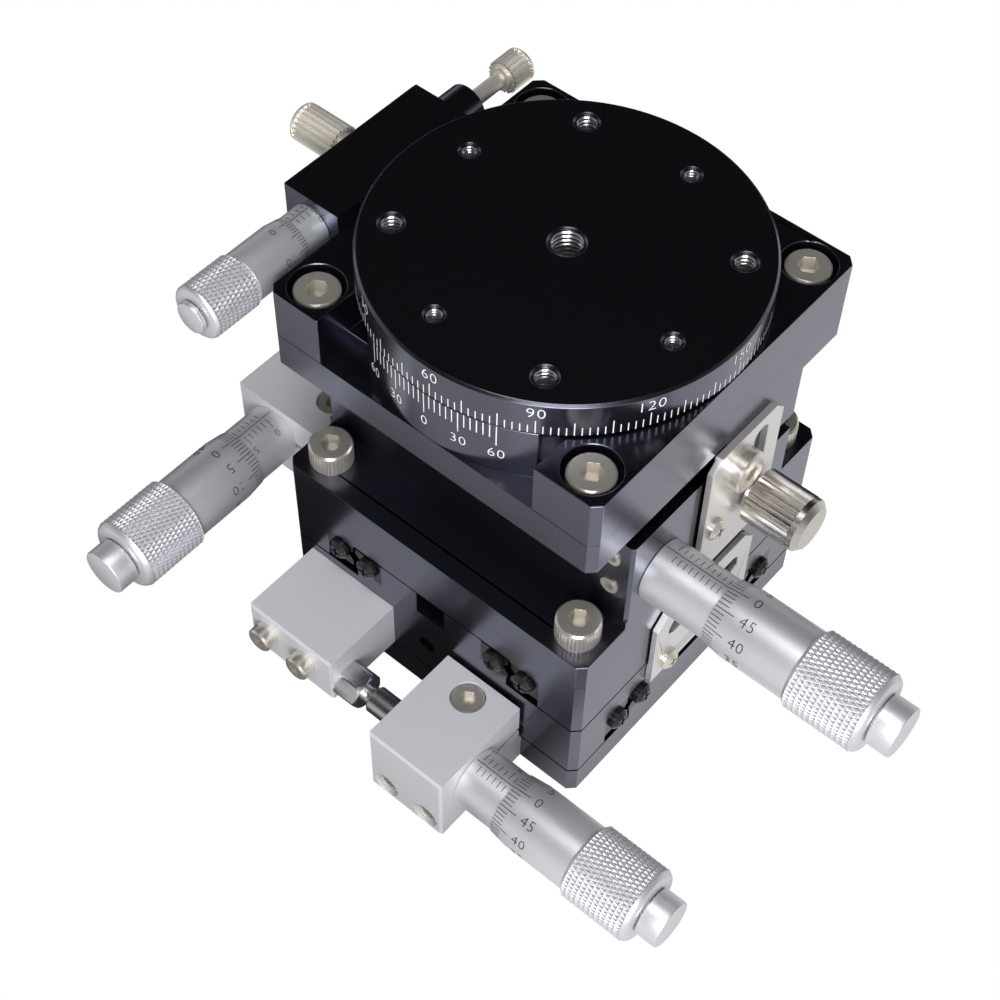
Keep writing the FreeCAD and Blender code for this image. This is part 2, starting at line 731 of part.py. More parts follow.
def r_base():
    body = plate(plate_side, plate_side, ztop_top, rbase_top, corner_cut)
    floor = ztop_top + 2.0
    cuts = [rod(bore_radius, (0, 0, floor), (0, 0, rbase_top)),
            rod(journal_radius + fit, (0, 0, ztop_top), (0, 0, floor)),
            box(-half, -bore_radius + 6.0, -arm_half - 3.6, arm_half + 3.6, floor, rbase_top),
            box(window_left, window_right, -half, -bore_radius + 8.0, floor, rbase_top),
            box(window_left, window_right, -half, -bore_radius, ztop_top, rbase_top)]
    for x, y in corners(pitch):
        cuts.append(rod(m4["head"] + 0.8, (x, y, rbase_top - m4["height"] - 0.5), (x, y, rbase_top)))
        cuts.append(rod(m4["shank"] + hole_clear, (x, y, ztop_top), (x, y, rbase_top)))
    return body.cut(cuts).removeSplitter()


def r_vernier():
    # Curved scale plate in the front window, its top just under the table
    outer = table_diameter / 2
    low = ztop_top
    ring = annulus(vernier_inner, outer, low, rbase_top + table_gap - 0.25)
    a0 = math.radians(vernier_centre_deg - vernier_half_deg)
    a1 = math.radians(vernier_centre_deg + vernier_half_deg)
    reach = table_diameter
    sector = [V(0, 0, low), V(reach * math.cos(a0), reach * math.sin(a0), low),
              V(reach * math.cos(a1), reach * math.sin(a1), low), V(0, 0, low)]
    slice_ = Part.Face(Part.makePolygon(sector)).extrude(V(0, 0, rotary_base_thickness + table_gap))
    window = box(window_left + 0.3, window_right - 0.3, -half, -bore_radius + 8.0, low, rbase_top + table_gap)
    floor_room = box(-half, half, -bore_radius, half, low, low + 2.1)
    return ring.common(slice_).common(window).cut(floor_room).removeSplitter()


def r_block():
    # Tangent block on the -X side: micrometer at the front, spring barrel at the back, arm room between
    x0, x1 = -half - r_block_depth, -half
    top = rbase_top + r_block_proud
    body = box(x0, x1, -r_block_front, r_block_back, ztop_top, top)
    body = body.makeChamfer(0.4, [e for e in body.Edges if e.BoundBox.XMax < x0 + 0.01])
    barrel = rod(barrel_radius, (-arm_reach, r_block_back, r_axis_z), (-arm_reach, r_block_back + barrel_length, r_axis_z))
    room = room_half
    cuts = [box(x0 + 1.6, x1, -room, room, ztop_top + 2.0, rbase_top + 0.4),
            rod(small_stem_radius + fit, (-arm_reach, -r_block_front, r_axis_z), (-arm_reach, -room, r_axis_z)),
            rod(1.8, (-arm_reach, room, r_axis_z), (-arm_reach, r_block_back + barrel_length, r_axis_z)),
            box(x0, x0 + 2.0, -5.2, 5.2, r_axis_z - 2.0, r_axis_z + 2.0),
            rod(table_diameter / 2 + 0.4, (0, 0, rbase_top), (0, 0, top + 1.0))]
    return body.fuse(barrel).cut(cuts).removeSplitter()


def r_arm_ring():
    # Clamp ring round the table's hub, with the tangent arm to the block
    z0, z1 = ztop_top + 2.6, rbase_top - 0.2
    ring = annulus(hub_radius + fit, hub_radius + ring_wall, z0, z1)
    arm = box(-arm_reach, -hub_radius - ring_wall + 1.5, -arm_half, arm_half, z0, z1)
    tip = rod(arm_tip_radius, (-arm_reach, 0, z0), (-arm_reach, 0, z1))
    arm = arm.cut(box(-arm_reach - 5.0, -arm_reach + 3.6, -9.0, 9.0, z0, z1)).fuse(tip)
    neck = box(-arm_reach, -arm_reach + 3.8, -arm_tip_radius, arm_tip_radius, z0, z1)
    slit = box(hub_radius - 1.0, hub_radius + ring_wall + 1.0, -0.5, 0.5, z0, z1)
    hole = rod(1.5 + fit, (-arm_reach - 5.0, 0, r_axis_z), (-hub_radius, 0, r_axis_z))
    return ring.fuse([arm, neck]).cut([slit, hole]).removeSplitter()


def threaded_mouth(drill, point, depth):
    # A tapped hole in the table's top with a small countersink
    x, y = point
    hole = rod(drill, (x, y, table_top - depth), (x, y, table_top))
    mouth = Part.makeCone(drill, drill + 0.45, 0.45, V(x, y, table_top - 0.45), V(0, 0, 1))
    return hole.fuse(mouth)


def table_hole_places(radius, turn):
    return [(radius * math.cos(math.radians(turn + 90 * k)), radius * math.sin(math.radians(turn + 90 * k)))
            for k in range(4)]


def r_table():
    edge = 0.4
    r = table_diameter / 2
    disc = turned_upright([(0, ztop_top + 0.3), (journal_radius, ztop_top + 0.3), (journal_radius, ztop_top + 2.3),
                           (hub_radius, ztop_top + 2.3), (hub_radius, table_z), (r, table_z),
                           (r, table_top - edge), (r - edge, table_top), (0, table_top)])
    cuts = [threaded_mouth(m6_drill, (0, 0), table_top - ztop_top - 0.3)]
    cuts += [threaded_mouth(m4_drill, p, table_thickness) for p in table_hole_places(large_holes_radius, table_holes_turn)]
    cuts += [threaded_mouth(m3_drill, p, table_thickness) for p in table_hole_places(small_holes_radius, table_holes_turn + 45)]
    return disc.cut(cuts)


def turned_upright(profile):
    wire = Part.makePolygon([V(r, 0, z) for r, z in profile + profile[:1]])
    return Part.Face(wire).revolve(V(0, 0, 0), V(0, 0, 1), 360)


def save(name, pieces):
    solids = pieces if isinstance(pieces, list) else [pieces]
    shape = solids[0] if len(solids) == 1 else Part.makeCompound(solids)
    if not shape.isValid():
        print("not valid:", name)
    shape.exportStep("parts/%s.step" % name)
    print(name, len(shape.Solids), round(shape.Volume, 1))


def micrometers():
    back = bracket_width / 2
    tip = -bracket_width - anvil_gap + nut_length + anvil_tip + tip_gap
    sets = (("x", x_place, 0, x_thimble_out, tip, bracket_width, large_head, x_axis_out),
            ("y", y_place, -90, y_thimble_out, tip, bracket_width, large_head, y_axis_out))
    for name, place, turn, out, tip_at, depth, sizes, axis_out in sets:
        for part_name, piece in zip(("sleeve", "spindle", "thimble"), micrometer(out, tip_at, depth, sizes)):
            piece.translate(V(back, -axis_out, 0))
            save("%s_%s" % (name, part_name), placed(piece, place, turn))
    wedge_end = wedge_middle + wedge_long / 2
    z_parts = micrometer(z_thimble_out, wedge_end + tip_gap - half, z_bore_depth, large_head)
    for part_name, piece in zip(("sleeve", "spindle", "thimble"), z_parts):
        save("z_" + part_name, placed(piece, z_place, 0))
    r_tip = r_block_front - arm_tip_radius - tip_gap
    r_parts = micrometer(r_thimble_out, -r_tip, r_block_front - room_half - 0.2, small_head)
    for part_name, piece in zip(("sleeve", "spindle", "thimble"), r_parts):
        save("r_" + part_name, placed(piece, r_place, -90))


def main():
    os.makedirs("parts", exist_ok=True)
    x_inner, x_outer, x_cages = cross_guide(base_thickness, 0)
    y_inner, y_outer, y_cages = cross_guide(middle_top, 90)
    z_fixed, z_moving, z_cages = z_rail_pair()

    save("base_plate", base_plate())
    save("base_rails", x_inner)
    save("base_rail_stops", rail_stops(base_thickness, 0, inner_rail))
    save("x_mic_bracket", placed(mic_bracket(x_axis_out, base_thickness - x_axis_height, -bracket_drop), x_place, 0))
    save("x_roller_cages", x_cages)

    save("middle_block", middle_block())
    save("middle_rails", x_outer + y_inner)
    save("middle_rail_stops", rail_stops(base_thickness, 0, outer_rail) + rail_stops(middle_top, 90, inner_rail))
    save("x_anvil_block", placed(anvil(x_axis_out, middle_z + anvil_drop - x_axis_height), x_anvil_place, 0))
    save("x_anvil_nut", placed(anvil_nut(x_axis_out), x_anvil_place, 0))
    undercut = base_thickness + roof_height + 0.1 - y_axis_height
    save("y_mic_bracket", placed(mic_bracket(y_axis_out, middle_top - y_axis_height, undercut), y_place, -90))
    save("y_roller_cages", y_cages)
    save("middle_bracket_screws",
         [placed(s, x_anvil_place, 0) for s in anvil_screws(x_axis_out)]
         + [placed(s, y_place, -90) for s in bracket_screws(y_axis_out)])

    save("y_table_block", table_block())
    save("y_table_rails", y_outer + z_fixed)
    save("y_table_rail_stops", rail_stops(middle_top, 90, outer_rail))
    save("y_anvil_block", placed(anvil(y_axis_out, block_z + anvil_drop - y_axis_height), y_anvil_place, -90))
    save("y_anvil_screws", [placed(s, y_anvil_place, -90) for s in anvil_screws(y_axis_out)])
    save("y_anvil_nut", placed(anvil_nut(y_axis_out), y_anvil_place, -90))

    x_plate = lock_plate(x_lock_screw - 2.9, middle_top - 0.9, x_lock_screw, x_lock_slot, base_thickness)
    x_plate.translate(V(0, -half, 0))
    save("x_lock_plate", placed(x_plate, (0, 0, 0), 180))
    y_plate = lock_plate(y_lock_screw - 2.9, block_top - 0.4, y_lock_screw, y_lock_slot, middle_top)
    y_plate.translate(V(0, -half, 0))
    save("y_lock_plate", placed(y_plate, (0, 0, 0), 90))
    face = -half - lock_plate_thickness
    for name, turn, z in (("x_lock_screws", 180, x_lock_screw), ("y_lock_screws", 90, y_lock_screw)):
        screws = [aimed(pan_screw(4.5), (side * lock_screw_span, face, z), (0, -1, 0)) for side in (-1, 1)]
        group = [placed(s, (0, 0, 0), turn) for s in screws]
        if name == "x_lock_screws":
            base_screws = group
        else:
            save(name, group)
    save("base_bracket_screws", [placed(s, x_place, 0) for s in bracket_screws(x_axis_out)] + base_screws)
    for name, turn, z in (("x_lock_knob", 180, x_lock_slot), ("y_lock_knob", 90, y_lock_slot)):
        piece = aimed(knob(lock_plate_thickness + knob_standoff + 5.0, knob_length, knob_radius, m3["shank"]),
                      (0, face - knob_standoff, z), (0, -1, 0))
        save(name, placed(piece, (0, 0, 0), turn))

    save("z_base_plate", z_base_plate())
    save("z_base_screws", [aimed(cap_screw(m4, plate_thickness + 8.0), (x, y, zbase_top), (0, 0, 1))
                           for x, y in corners(pitch)])
    save("z_housing", z_housing())
    save("z_set_screws", z_set_screws())
    save("z_wedge", z_wedge())
    save("z_roller_cages", z_cages)
    save("z_lift_block", z_lift_block())
    save("z_lift_rails", z_moving)
    save("z_top_plate", z_top_plate())
    save("z_lock_plate", z_lock_plate())
    save("z_lock_screws", z_lock_screws())
    save("z_lock_knob", aimed(knob(lock_plate_thickness + knob_standoff + 5.0, knob_length, knob_radius, m3["shank"]),
                              (half + lock_plate_thickness + knob_standoff, z_lock_y, zbase_top + z_lock_z), (1, 0, 0)))

    save("r_base", r_base())
    save("r_corner_screws", [aimed(cap_screw(m4, rotary_base_thickness - m4["height"] - 0.5 + 4.6),
                                   (x, y, rbase_top - m4["height"] - 0.5), (0, 0, 1)) for x, y in corners(pitch)])
    save("r_vernier", r_vernier())
    save("r_block", r_block())
    save("r_arm_ring", r_arm_ring())
    save("r_table", r_table())
    x0 = -half - r_block_depth
    out = r_knob_standoff
    save("r_lock_knob", aimed(knob(-x0 + out - hub_radius - 0.3, r_knob_length, r_knob_radius, m3["shank"]),
                              (x0 - out, 0, r_axis_z), (-1, 0, 0)))
    end = r_block_back + barrel_length
    shank = end + plunger_out - arm_tip_radius - plunger_pin - 5.6
    save("r_plunger_screw", aimed(knob(shank, plunger_head, plunger_radius, 1.3), (-arm_reach, end + plunger_out, r_axis_z), (0, 1, 0)))
    plunger = turned([(0, 0), (0, 1.4), (plunger_pin - 2.2, 1.4), (plunger_pin - 2.2, 0.9),
                      (plunger_pin, 0.9), (plunger_pin, 0)])
    save("r_plunger_pin", aimed(plunger, (-arm_reach, arm_tip_radius + tip_gap + 0.05, r_axis_z), (0, 1, 0)))
    micrometers()


main()
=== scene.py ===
import json
import math

import bmesh
import bpy
from mathutils import Matrix, Vector


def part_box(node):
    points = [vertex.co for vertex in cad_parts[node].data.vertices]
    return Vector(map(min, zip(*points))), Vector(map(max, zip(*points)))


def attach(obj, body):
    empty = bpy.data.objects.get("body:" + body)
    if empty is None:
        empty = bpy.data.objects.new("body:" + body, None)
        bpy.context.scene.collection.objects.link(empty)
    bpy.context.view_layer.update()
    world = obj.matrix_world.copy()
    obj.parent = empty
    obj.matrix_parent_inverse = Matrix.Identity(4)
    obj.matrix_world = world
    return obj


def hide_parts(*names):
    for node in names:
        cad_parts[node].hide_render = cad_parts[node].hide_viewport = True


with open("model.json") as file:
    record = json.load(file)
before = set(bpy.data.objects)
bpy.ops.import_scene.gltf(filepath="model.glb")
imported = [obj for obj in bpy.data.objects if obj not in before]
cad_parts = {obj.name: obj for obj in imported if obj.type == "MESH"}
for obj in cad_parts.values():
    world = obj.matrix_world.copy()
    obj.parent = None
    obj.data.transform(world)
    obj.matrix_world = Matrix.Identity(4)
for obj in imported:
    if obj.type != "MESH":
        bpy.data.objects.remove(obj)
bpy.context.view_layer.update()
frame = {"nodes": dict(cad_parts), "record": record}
mm = 0.001  # the dictionaries below give lengths in metres and angles in degrees


# Metal finishes, all with the same fine grain

grainLook = {"detail": 3.0, "bumpDistance": 0.04 * mm}
finishes = {
    "black_anodised": {
        "name": "blackAnodised", "color": (0.165, 0.17, 0.215), "roughness": 0.23,
        "spread": 0.06, "size": 12000, "depth": 0.03, "variation": 0.1},
    "blasted_aluminium": {
        "name": "blastedAluminium", "color": (0.60, 0.61, 0.64), "roughness": 0.5,
        "metallic": 0.35, "size": 14000, "depth": 0.25},
    "satin_chrome": {
        "name": "satinChrome", "color": (0.67, 0.68, 0.71), "roughness": 0.42,
        "metallic": 0.72, "size": 5000, "depth": 0.04},
    "rail_steel": {"name": "railSteel", "color": (0.05, 0.05, 0.055), "roughness": 0.22},
    "ground_steel": {
        "name": "groundSteel", "color": (0.62, 0.62, 0.63), "roughness": 0.28,
        "size": 3000, "stretch": (1, 6, 6)},
    "nickel_screw": {
        "name": "nickelScrew", "color": (0.72, 0.68, 0.61), "roughness": 0.26, "metallic": 0.8},
    "nickel_knob": {"name": "nickelKnob", "color": (0.60, 0.57, 0.53), "roughness": 0.26},
    "black_screw": {
        "name": "blackScrew", "color": (0.03, 0.03, 0.032), "roughness": 0.18, "metallic": 0.6},
    "lock_plate_steel": {
        "name": "lockPlateSteel", "color": (0.70, 0.68, 0.68), "roughness": 0.34, "metallic": 0.7},
    "markBlack": {
        "name": "markBlack", "color": (0.02, 0.02, 0.022), "roughness": 0.5,
        "metallic": 0.0, "variation": 0.0},
    "markWhite": {
        "name": "markWhite", "color": (0.82, 0.83, 0.85), "roughness": 0.5,
        "metallic": 0.0, "variation": 0.0},
    # Lighter copy of the knob nickel: painted light, for the knobs that stand in brighter light
    "nickelLitCopy": {
        "name": "nickelLitCopy", "color": (0.86, 0.82, 0.75), "roughness": 0.38, "metallic": 0.7},
}


def newGroup(name, kind):
    return bpy.data.node_groups.new(name, kind)


def socket(tree, name, kind, way="INPUT", value=None):
    made = tree.interface.new_socket(name=name, in_out=way, socket_type=kind)
    if value is not None:
        made.default_value = value


def grainGroup():
    # Spreads the roughness and bends the normal a little
    tree = newGroup("Fine Grain", "ShaderNodeTree")
    for name in ("Roughness", "Spread", "Grain Size", "Grain Depth"):
        socket(tree, name, "NodeSocketFloat")
    socket(tree, "Stretch", "NodeSocketVector")
    socket(tree, "Roughness", "NodeSocketFloat", "OUTPUT")
    socket(tree, "Mask", "NodeSocketFloat", "OUTPUT")
    socket(tree, "Normal", "NodeSocketVector", "OUTPUT")
    put, link = tree.nodes.new, tree.links.new
    given = put("NodeGroupInput")
    result = put("NodeGroupOutput")
    place = put("ShaderNodeTexCoord")
    stretch = put("ShaderNodeVectorMath")
    stretch.operation = "MULTIPLY"
    noise = put("ShaderNodeTexNoise")
    noise.inputs["Detail"].default_value = grainLook["detail"]
    bump = put("ShaderNodeBump")
    bump.inputs["Distance"].default_value = grainLook["bumpDistance"]
    centred = put("ShaderNodeMath")
    centred.operation = "SUBTRACT"
    centred.inputs[1].default_value = 0.5
    scaled = put("ShaderNodeMath")
    scaled.operation = "MULTIPLY_ADD"
    link(place.outputs["Object"], stretch.inputs[0])
    link(given.outputs["Stretch"], stretch.inputs[1])
    link(stretch.outputs[0], noise.inputs["Vector"])
    link(given.outputs["Grain Size"], noise.inputs["Scale"])
    link(noise.outputs["Fac"], centred.inputs[0])
    link(centred.outputs[0], scaled.inputs[0])
    link(given.outputs["Spread"], scaled.inputs[1])
    link(given.outputs["Roughness"], scaled.inputs[2])
    link(given.outputs["Grain Depth"], bump.inputs["Strength"])
    link(noise.outputs["Fac"], bump.inputs["Height"])
    link(scaled.outputs[0], result.inputs["Roughness"])
    link(noise.outputs["Fac"], result.inputs["Mask"])
    link(bump.outputs["Normal"], result.inputs["Normal"])
    return tree


grain = grainGroup()


def metal(name, color, roughness, metallic=1.0, spread=0.05, size=9000.0, depth=0.05,
          stretch=(1, 1, 1), variation=0.08, ior=1.5):
    made = bpy.data.materials.new(name)
    made.use_nodes = True
    tree = made.node_tree
    surface = tree.nodes["Principled BSDF"]
    surface.inputs["Metallic"].default_value = metallic
    surface.inputs["IOR"].default_value = ior
    fine = tree.nodes.new("ShaderNodeGroup")
    fine.node_tree = grain
    fine.inputs["Roughness"].default_value = roughness
    fine.inputs["Spread"].default_value = spread
    fine.inputs["Grain Size"].default_value = size
    fine.inputs["Grain Depth"].default_value = depth
    fine.inputs["Stretch"].default_value = stretch
    tint = tree.nodes.new("ShaderNodeMix")
    tint.data_type = "RGBA"
    tint.inputs["A"].default_value = (*[c * (1 - variation) for c in color], 1)
    tint.inputs["B"].default_value = (*[min(1.0, c * (1 + variation)) for c in color], 1)
    tree.links.new(fine.outputs["Mask"], tint.inputs["Factor"])
    tree.links.new(tint.outputs["Result"], surface.inputs["Base Color"])
    tree.links.new(fine.outputs["Roughness"], surface.inputs["Roughness"])
    tree.links.new(fine.outputs["Normal"], surface.inputs["Normal"])
    return made


materials = {key: metal(**look) for key, look in finishes.items()}
markBlack, markWhite = materials["markBlack"], materials["markWhite"]
print("materials ready")


# Mesh helpers

turning = {"segments": 96, "sharp": 30.0, "merge": 0.0001 * mm}
lettering = {"capHeight": 0.7, "thin": 0.014, "spacing": 1.1, "detail": 3, "lift": 0.03 * mm}


def axisFrame(origin, axis):
    # Local X along the axis, local Z up where the axis is level, or +X where it is upright
    along = Vector(axis)
    top = Vector((0, 0, 1)) if abs(along.z) < 0.5 else Vector((1, 0, 0))
    side = along.cross(top)
    turn = Matrix((along, side, top)).transposed().to_4x4()
    return Matrix.Translation(Vector(origin)) @ turn


def addObject(name, mesh, material, body):
    made = bpy.data.objects.new(name, mesh)
    bpy.context.scene.collection.objects.link(made)
    mesh.materials.append(material)
    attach(made, body)
    return made


def turnedMesh(name, profile, place):
    # Solid of revolution about local X from (station, radius) points, closed at its poles
    segments = turning["segments"]
    points = []
    faces = []
    for station, radius in profile:
        for k in range(segments):
            turn = 2 * math.pi * k / segments
            spot = Vector((station, radius * math.sin(turn), radius * math.cos(turn)))
            points.append(tuple(place @ spot))
    for row in range(len(profile) - 1):
        a, b = row * segments, (row + 1) * segments
        for k in range(segments):
            after = (k + 1) % segments
            faces.append((a + k, a + after, b + after, b + k))
    mesh = bpy.data.meshes.new(name)
    mesh.from_pydata(points, [], faces)
    shape = bmesh.new()
    shape.from_mesh(mesh)
    bmesh.ops.remove_doubles(shape, verts=shape.verts, dist=turning["merge"])
    shape.to_mesh(mesh)
    shape.free()
    return mesh


def sharpen(made):
    for face in made.data.polygons:
        face.use_smooth = True
    edge = made.modifiers.new("sharpEdges", "EDGE_SPLIT")
    edge.split_angle = math.radians(turning["sharp"])


def bakeNodes(name, tree, values, place, body):
    # Runs a node group on an empty mesh and keeps its result as a plain mesh
    holder = bpy.data.objects.new(name, bpy.data.meshes.new(name))
    bpy.context.scene.collection.objects.link(holder)
    modifier = holder.modifiers.new("build", "NODES")
    modifier.node_group = tree
    for item in tree.interface.items_tree:
        if item.item_type == "SOCKET" and item.in_out == "INPUT" and item.name in values:
            modifier[item.identifier] = values[item.name]
    shown = holder.evaluated_get(bpy.context.evaluated_depsgraph_get())
    mesh = bpy.data.meshes.new_from_object(shown)
    holder.modifiers.clear()
    holder.data = mesh
    mesh.name = name
    mesh.transform(place)
    mesh.update()
    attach(holder, body)
    return holder


def wrappedText(name, words, height, place, body, material, radius, arc, station, axial):
    # Digits on a drum: written along its axis, or round it
    curve = bpy.data.curves.new(name, "FONT")
    curve.body = words
    curve.size = height / lettering["capHeight"]
    curve.align_x = "LEFT" if axial else "CENTER"
    curve.align_y = "CENTER"
    curve.resolution_u = lettering["detail"]
    curve.offset = -lettering["thin"] * curve.size
    curve.space_character = lettering["spacing"]
    writer = bpy.data.objects.new(name, curve)
    bpy.context.scene.collection.objects.link(writer)
    shown = writer.evaluated_get(bpy.context.evaluated_depsgraph_get())
    mesh = bpy.data.meshes.new_from_object(shown)
    bpy.data.objects.remove(writer)
    reach = radius + lettering["lift"]
    for vertex in mesh.vertices:
        x, y = vertex.co.x, vertex.co.y
        u, v = (arc - y, station + x) if axial else (arc + x, station + y)
        turn = u / radius
        vertex.co = place @ Vector((v, reach * math.sin(turn), reach * math.cos(turn)))
    mesh.update()
    return addObject(name, mesh, material, body)


# Geometry nodes: a ridged band for knurls and threads, and a ruled scale wrapped on a drum

bandMerge = 0.0001 * mm
bandAround = 48  # fewest points round a band
markSteps = 9  # points along each mark, so that it follows the drum
markLift = 0.012 * mm


class Nodes:
    # Short way to add and join geometry nodes
    def __init__(self, name, changes=False):
        self.tree = newGroup(name, "GeometryNodeTree")
        if changes:
            socket(self.tree, "Geometry", "NodeSocketGeometry")
        self.given = self.tree.nodes.new("NodeGroupInput")
        self.result = self.tree.nodes.new("NodeGroupOutput")
        socket(self.tree, "Geometry", "NodeSocketGeometry", "OUTPUT")

    def number(self, *names):
        for name in names:
            socket(self.tree, name, "NodeSocketFloat")

    def whole(self, *names):
        for name in names:
            socket(self.tree, name, "NodeSocketInt", value=1)

    def switch(self, *names):
        for name in names:
            socket(self.tree, name, "NodeSocketBool", value=False)

    def of(self, name):
        return self.given.outputs[name]

    def join(self, value, target):
        if isinstance(value, (int, float)):
            target.default_value = value
        else:
            self.tree.links.new(value, target)

    def math(self, operation, *values):
        node = self.tree.nodes.new("ShaderNodeMath")
        node.operation = operation
        for k, value in enumerate(values):
            self.join(value, node.inputs[k])
        return node.outputs[0]

    def vector(self, x, y, z):
        node = self.tree.nodes.new("ShaderNodeCombineXYZ")
        for value, target in zip((x, y, z), node.inputs):
            self.join(value, target)
        return node.outputs[0]

    def spot(self):
        node = self.tree.nodes.new("ShaderNodeSeparateXYZ")
        position = self.tree.nodes.new("GeometryNodeInputPosition")
        self.join(position.outputs[0], node.inputs[0])
        return node.outputs

    def around(self, along, radius, turn):
        # A place on a drum from its station, radius and angle
        return self.vector(along, self.math("MULTIPLY", radius, self.math("SINE", turn)),
                           self.math("MULTIPLY", radius, self.math("COSINE", turn)))

    def add(self, kind, **links):
        node = self.tree.nodes.new(kind)
        for name, value in links.items():
            self.join(value, node.inputs[name.replace("_", " ")])
        return node

    def close(self, geometry, flip):
        turned = self.add("GeometryNodeFlipFaces", Mesh=geometry, Selection=flip)
        socket(self.tree, "Material", "NodeSocketMaterial")
        painted = self.add("GeometryNodeSetMaterial", Geometry=turned.outputs[0],
                           Material=self.of("Material"))
        self.join(painted.outputs[0], self.result.inputs["Geometry"])
        return self.tree


def bandNodes():
    # A cylinder's skin with crossed, straight or helical ridges, from a wrapped grid
    n = Nodes("Ridged Band")
    n.number("Radius", "Length", "Depth", "Rows", "Start", "Crest")
    n.whole("Ridges", "Around", "Along")
    n.switch("Crossed", "Outside")
    grid = n.add("GeometryNodeMeshGrid", Size_X=1.0, Size_Y=1.0,
                 Vertices_X=n.of("Along"), Vertices_Y=n.of("Around"))
    spot = n.spot()
    along = n.math("ADD", spot[0], 0.5)
    around = n.math("ADD", spot[1], 0.5)
    turned = n.math("MULTIPLY", around, n.of("Ridges"))
    leaned = n.math("MULTIPLY", along, n.of("Rows"))
    right = n.math("PINGPONG", n.math("ADD", turned, leaned), 0.5)
    left = n.math("PINGPONG", n.math("SUBTRACT", turned, leaned), 0.5)
    both = n.math("MINIMUM", right, left)
    pick = n.tree.nodes.new("GeometryNodeSwitch")
    pick.input_type = "FLOAT"
    n.join(n.of("Crossed"), pick.inputs["Switch"])
    n.join(right, pick.inputs["False"])
    n.join(both, pick.inputs["True"])
    valley = n.math("SUBTRACT", 1.0, n.math("MULTIPLY", pick.outputs[0], 2.0))
    capped = n.math("MINIMUM", n.math("MULTIPLY", valley, n.of("Depth")),
                    n.math("MULTIPLY", n.of("Crest"), n.of("Depth")))
    place = n.around(n.math("MULTIPLY_ADD", along, n.of("Length"), n.of("Start")),
                     n.math("SUBTRACT", n.of("Radius"), capped),
                     n.math("MULTIPLY", around, 2 * math.pi))
    moved = n.add("GeometryNodeSetPosition", Geometry=grid.outputs["Mesh"], Position=place)
    closed = n.add("GeometryNodeMergeByDistance", Geometry=moved.outputs[0], Distance=bandMerge)
    return n.close(closed.outputs[0], n.of("Outside"))


def scaleNodes():
    # Marks laid out flat, some longer, then wrapped round a drum whose front may be a short cone
    n = Nodes("Wrapped Scale")
    n.number("Radius", "Arc Start", "Arc Step", "Axial Start", "Axial Step", "Width", "Short",
             "Long", "Cone Length", "Cone Drop", "Lift")
    n.whole("Count", "Long Every")
    n.switch("Around Drum")
    line = n.add("GeometryNodeMeshLine", Count=n.of("Count"))
    index = n.tree.nodes.new("GeometryNodeInputIndex").outputs[0]
    place = n.vector(n.math("MULTIPLY_ADD", index, n.of("Arc Step"), n.of("Arc Start")),
                     n.math("MULTIPLY_ADD", index, n.of("Axial Step"), n.of("Axial Start")), 0.0)
    spots = n.add("GeometryNodeSetPosition", Geometry=line.outputs[0], Position=place)
    isLong = n.math("LESS_THAN", n.math("FLOORED_MODULO", index, n.of("Long Every")), 0.5)
    extra = n.math("SUBTRACT", n.of("Long"), n.of("Short"))
    length = n.math("MULTIPLY_ADD", isLong, extra, n.of("Short"))
    flat = n.add("GeometryNodeMeshGrid", Size_X=1.0, Size_Y=1.0, Vertices_X=2, Vertices_Y=markSteps)
    raised = n.add("GeometryNodeTransform", Geometry=flat.outputs["Mesh"])
    raised.inputs["Translation"].default_value = (0, 0.5, 0)
    spin = n.vector(0.0, 0.0, n.math("MULTIPLY", n.of("Around Drum"), -math.pi / 2))
    ticks = n.add("GeometryNodeInstanceOnPoints", Points=spots.outputs[0],
                  Instance=raised.outputs[0], Rotation=spin,
                  Scale=n.vector(n.of("Width"), length, 1.0))
    solid = n.add("GeometryNodeRealizeInstances", Geometry=ticks.outputs[0])
    spot = n.spot()
    behind = n.math("DIVIDE", spot[1], n.of("Cone Length"))
    near = n.math("MAXIMUM", n.math("SUBTRACT", 1.0, behind), 0.0)
    skin = n.math("SUBTRACT", n.of("Radius"), n.math("MULTIPLY", near, n.of("Cone Drop")))
    wrapped = n.around(spot[1], n.math("ADD", skin, n.of("Lift")),
                       n.math("DIVIDE", spot[0], n.of("Radius")))
    moved = n.add("GeometryNodeSetPosition", Geometry=solid.outputs[0], Position=wrapped)
    return n.close(moved.outputs[0], n.math("LESS_THAN", n.of("Short"), 0.0))


bandTree = bandNodes()
scaleTree = scaleNodes()


def ridgedBand(name, place, body, material, radius, start, length, depth, ridges, rows=0.0,
               crossed=True, fine=4, crest=1.0, outside=True):
    values = {"Radius": radius, "Length": length, "Depth": depth, "Rows": float(rows),
              "Start": start, "Ridges": ridges, "Around": max(ridges * fine, bandAround) + 1,
              "Along": max(int(2 * rows * fine), 1) + 1, "Crossed": crossed, "Crest": crest,
              "Outside": outside, "Material": material}
    return bakeNodes(name, bandTree, values, place, body)


def ruledScale(name, place, body, material, **given):
    # arcStart in the call is the input Arc Start, and so on
    values = {"Cone Length": 1.0 * mm, "Cone Drop": 0.0, "Long Every": 5, "Lift": markLift,
              "Material": material}
    for key, value in given.items():
        values[key[0].upper() + "".join(" " + c if c.isupper() else c for c in key[1:])] = value
    return bakeNodes(name, scaleTree, values, place, body)


# Micrometer heads

